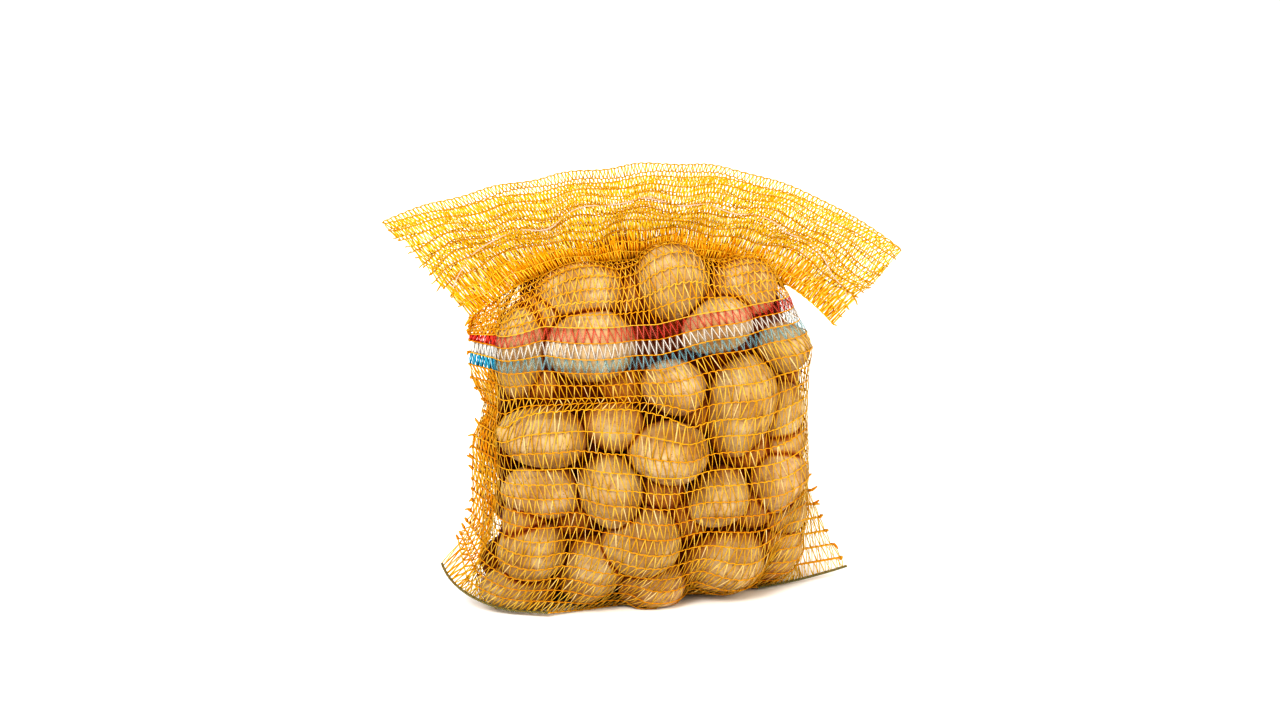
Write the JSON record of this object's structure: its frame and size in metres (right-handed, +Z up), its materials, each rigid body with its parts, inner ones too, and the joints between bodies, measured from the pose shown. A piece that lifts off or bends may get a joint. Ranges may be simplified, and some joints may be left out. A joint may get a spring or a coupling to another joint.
{
  "type": "mesh produce sack",
  "caption": "Knitted yellow net sack filled with potatoes, standing on its bottom, with a striped band, side seams and a wide gathered mouth spread out above the fill.",
  "frame": {"origin": "on the floor under the middle of the sack", "axes": "+Z up, +X across the front to the viewer's right, +Y from the front to the back"},
  "size_m": [0.414, 0.1612, 0.346],
  "materials": {
    "potato_skin": "dry tan potato skin, slightly rough",
    "net": "knitted yellow plastic tape net, slightly see-through",
    "film": "thin clear whitish film, bare",
    "draw_thread": "pale twisted thread",
    "hem_thread": "grey-green sewing thread"
  },
  "bodies": {
    "root": {"potato_fill": "potato_skin", "net_collar": "net", "film_strip": "film", "draw_thread": "draw_thread", "side_edge_left": "net", "side_edge_right": "net", "hem_left": "hem_thread", "hem_right": "hem_thread"}
  },
  "joints": []
}
